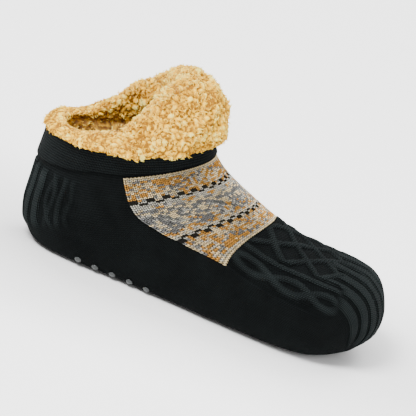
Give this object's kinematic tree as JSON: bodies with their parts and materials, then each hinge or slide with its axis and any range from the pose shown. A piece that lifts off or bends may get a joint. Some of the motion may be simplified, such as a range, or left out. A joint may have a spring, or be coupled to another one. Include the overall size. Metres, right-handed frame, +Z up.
{
  "type": "slipper sock",
  "caption": "Knitted ankle slipper sock, open at the collar, with a fleece lining turned out as a thick cuff and silicone grip dots under the sole.",
  "frame": {"origin": "on the floor, in the middle of the sock's length and width", "axes": "+X from the heel to the toe, +Y across the sock, +Z up"},
  "size_m": [0.266, 0.104, 0.1521],
  "materials": {
    "black_knit": "matte ribbed and cabled knit, with a patterned knitted panel over the instep",
    "cream_fleece": "curly sherpa fleece",
    "clear_silicone": "clear, glossy"
  },
  "bodies": {
    "root": {"collar_band": "black_knit", "fleece_cuff": "cream_fleece", "fleece_lining": "cream_fleece", "grip_dot_left_02": "clear_silicone", "grip_dot_left_03": "clear_silicone", "grip_dot_left_04": "clear_silicone", "grip_dot_left_05": "clear_silicone", "grip_dot_left_06": "clear_silicone", "grip_dot_left_07": "clear_silicone", "grip_dot_left_08": "clear_silicone", "grip_dot_left_09": "clear_silicone", "grip_dot_left_10": "clear_silicone", "grip_dot_left_11": "clear_silicone", "grip_dot_left_12": "clear_silicone", "grip_dot_left_13": "clear_silicone", "grip_dot_left_14": "clear_silicone", "grip_dot_left_15": "clear_silicone", "grip_dot_left_16": "clear_silicone", "grip_dot_middle_01": "clear_silicone", "grip_dot_middle_02": "clear_silicone", "grip_dot_middle_03": "clear_silicone", "grip_dot_middle_04": "clear_silicone", "grip_dot_middle_05": "clear_silicone", "grip_dot_middle_06": "clear_silicone", "grip_dot_middle_07": "clear_silicone", "grip_dot_middle_08": "clear_silicone", "grip_dot_middle_09": "clear_silicone", "grip_dot_middle_10": "clear_silicone", "grip_dot_middle_11": "clear_silicone", "grip_dot_middle_12": "clear_silicone", "grip_dot_middle_13": "clear_silicone", "grip_dot_middle_14": "clear_silicone", "grip_dot_middle_15": "clear_silicone", "grip_dot_middle_16": "clear_silicone", "grip_dot_middle_17": "clear_silicone", "grip_dot_right_02": "clear_silicone", "grip_dot_right_03": "clear_silicone", "grip_dot_right_04": "clear_silicone", "grip_dot_right_05": "clear_silicone", "grip_dot_right_06": "clear_silicone", "grip_dot_right_07": "clear_silicone", "grip_dot_right_08": "clear_silicone", "grip_dot_right_09": "clear_silicone", "grip_dot_right_10": "clear_silicone", "grip_dot_right_11": "clear_silicone", "grip_dot_right_12": "clear_silicone", "grip_dot_right_13": "clear_silicone", "grip_dot_right_14": "clear_silicone", "grip_dot_right_15": "clear_silicone", "grip_dot_right_16": "clear_silicone", "knit_upper_with_sole": "black_knit"}
  },
  "joints": []
}
